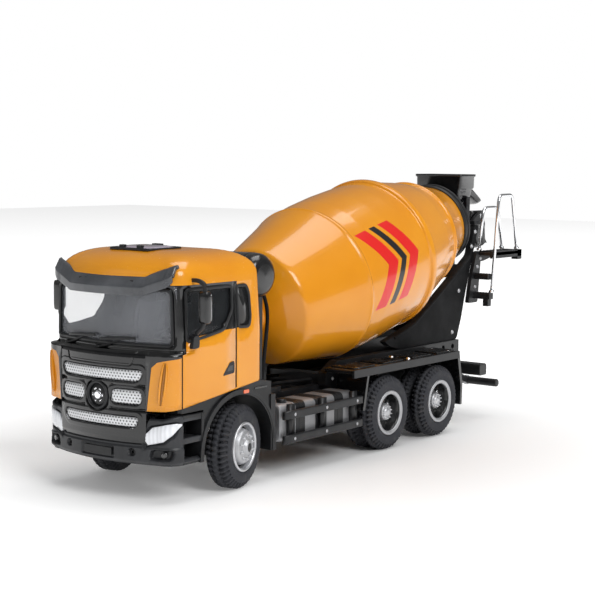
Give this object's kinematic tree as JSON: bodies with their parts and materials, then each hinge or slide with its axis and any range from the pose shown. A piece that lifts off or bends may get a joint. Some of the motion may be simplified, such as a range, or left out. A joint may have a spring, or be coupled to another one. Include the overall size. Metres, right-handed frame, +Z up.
{
  "type": "toy concrete mixer truck",
  "caption": "Die-cast style toy mixer truck with turning drum, steered front wheels, dual rear wheels, charging hopper, swinging chute and a ladder with platform.",
  "frame": {"origin": "on the floor, under the middle of the bounding box at rest", "axes": "+Z up, front of the truck towards -Y, the truck's left side towards +X"},
  "size_m": [0.057, 0.195, 0.085],
  "materials": {
    "yellow_paint": "glossy enamel",
    "dark_plastic": "fine satin moulding",
    "gloss_black": "gloss",
    "plated_trim": "bright plating",
    "silver_plastic": "silver satin",
    "tyre_rubber": "matt",
    "clear_plastic": "clear",
    "lamp_white": "gloss",
    "seat_grey": "matt"
  },
  "bodies": {
    "chassis": {"chassis_frame": "dark_plastic", "subframe": "dark_plastic", "front_axle_beam": "dark_plastic", "cab_base": "dark_plastic", "steering_wheel": "dark_plastic", "bumper": "dark_plastic", "visor": "dark_plastic", "roof_hatch": "dark_plastic", "wiper_left": "dark_plastic", "wiper_right": "dark_plastic", "side_guard_left": "dark_plastic", "side_guard_right": "dark_plastic", "mudguard_left": "dark_plastic", "mudguard_right": "dark_plastic", "battery_box": "dark_plastic", "front_pedestal": "dark_plastic", "rear_pedestal": "dark_plastic", "hopper": "dark_plastic", "ladder": "dark_plastic", "tail_step": "dark_plastic", "underrun_bar": "dark_plastic", "fuel_tank": "silver_plastic", "cab_shell": "yellow_paint", "seats": "seat_grey", "windscreen": "clear_plastic", "side_glass_left": "clear_plastic", "side_glass_right": "clear_plastic", "front_panel": "gloss_black", "mirror_left": "gloss_black", "mirror_right": "gloss_black", "air_tank": "gloss_black", "grille_upper": "plated_trim", "grille_right": "plated_trim", "grille_left": "plated_trim", "grille_lower": "plated_trim", "badge": "plated_trim", "handrail_inner": "plated_trim", "handrail_outer": "plated_trim", "headlamp_left": "lamp_white", "headlamp_right": "lamp_white"},
    "knuckle_left": {"knuckle_left": "dark_plastic"},
    "knuckle_right": {"knuckle_right": "dark_plastic"},
    "tie_rod": {"tie_rod": "dark_plastic"},
    "front_wheel_left": {"front_rim_left": "silver_plastic", "front_tyre_left": "tyre_rubber"},
    "front_wheel_right": {"front_rim_right": "silver_plastic", "front_tyre_right": "tyre_rubber"},
    "rear_wheels_1": {"rear_axle_1": "silver_plastic", "rear_rim_1_left": "silver_plastic", "rear_tyre_1_left": "tyre_rubber", "rear_rim_1_right": "silver_plastic", "rear_tyre_1_right": "tyre_rubber"},
    "rear_wheels_2": {"rear_axle_2": "silver_plastic", "rear_rim_2_left": "silver_plastic", "rear_tyre_2_left": "tyre_rubber", "rear_rim_2_right": "silver_plastic", "rear_tyre_2_right": "tyre_rubber"},
    "drum": {"drum": "yellow_paint"},
    "chute_swivel": {"chute_swivel": "dark_plastic"},
    "chute": {"chute": "dark_plastic"}
  },
  "joints": [
    {"name": "drum_spin", "type": "hinge", "parent": "chassis", "child": "drum", "pos_m": [0, 0, 0.052], "axis": [0, 0.9757, 0.2192], "continuous": true},
    {"name": "steer_left", "type": "hinge", "parent": "chassis", "child": "knuckle_left", "pos_m": [0.0126, -0.067, 0.0116], "axis": [0, 0, 1], "range_deg": [-27, 3]},
    {"name": "steer_right", "type": "hinge", "parent": "chassis", "child": "knuckle_right", "pos_m": [-0.0126, -0.067, 0.0116], "axis": [0, 0, 1], "range_deg": [-27, 3]},
    {"name": "tie_rod_shift", "type": "slide", "parent": "chassis", "child": "tie_rod", "axis": [1, 0, 0], "range_m": [-0.00032, 0.00281]},
    {"name": "front_wheel_left_spin", "type": "hinge", "parent": "knuckle_left", "child": "front_wheel_left", "pos_m": [0.0126, -0.067, 0.0116], "axis": [0.9781, 0.2079, 0], "continuous": true},
    {"name": "front_wheel_right_spin", "type": "hinge", "parent": "knuckle_right", "child": "front_wheel_right", "pos_m": [-0.0126, -0.067, 0.0116], "axis": [0.9781, 0.2079, 0], "continuous": true},
    {"name": "rear_axle_1_spin", "type": "hinge", "parent": "chassis", "child": "rear_wheels_1", "pos_m": [0, 0.0069, 0.0116], "axis": [1, 0, 0], "continuous": true},
    {"name": "rear_axle_2_spin", "type": "hinge", "parent": "chassis", "child": "rear_wheels_2", "pos_m": [0, 0.0362, 0.0116], "axis": [1, 0, 0], "continuous": true},
    {"name": "chute_swing", "type": "hinge", "parent": "chassis", "child": "chute_swivel", "pos_m": [0, 0.0826, 0.06], "axis": [0, 0, 1], "range_deg": [-25, 45]},
    {"name": "chute_tilt", "type": "hinge", "parent": "chute_swivel", "child": "chute", "pos_m": [0, 0.0904, 0.07], "axis": [1, 0, 0], "range_deg": [-5, 30]}
  ],
  "couplings": [
    {"joint": "steer_right", "follows": "steer_left", "ratio": 1},
    {"joint": "tie_rod_shift", "follows": "steer_left", "m_per_rad": -0.00594}
  ]
}
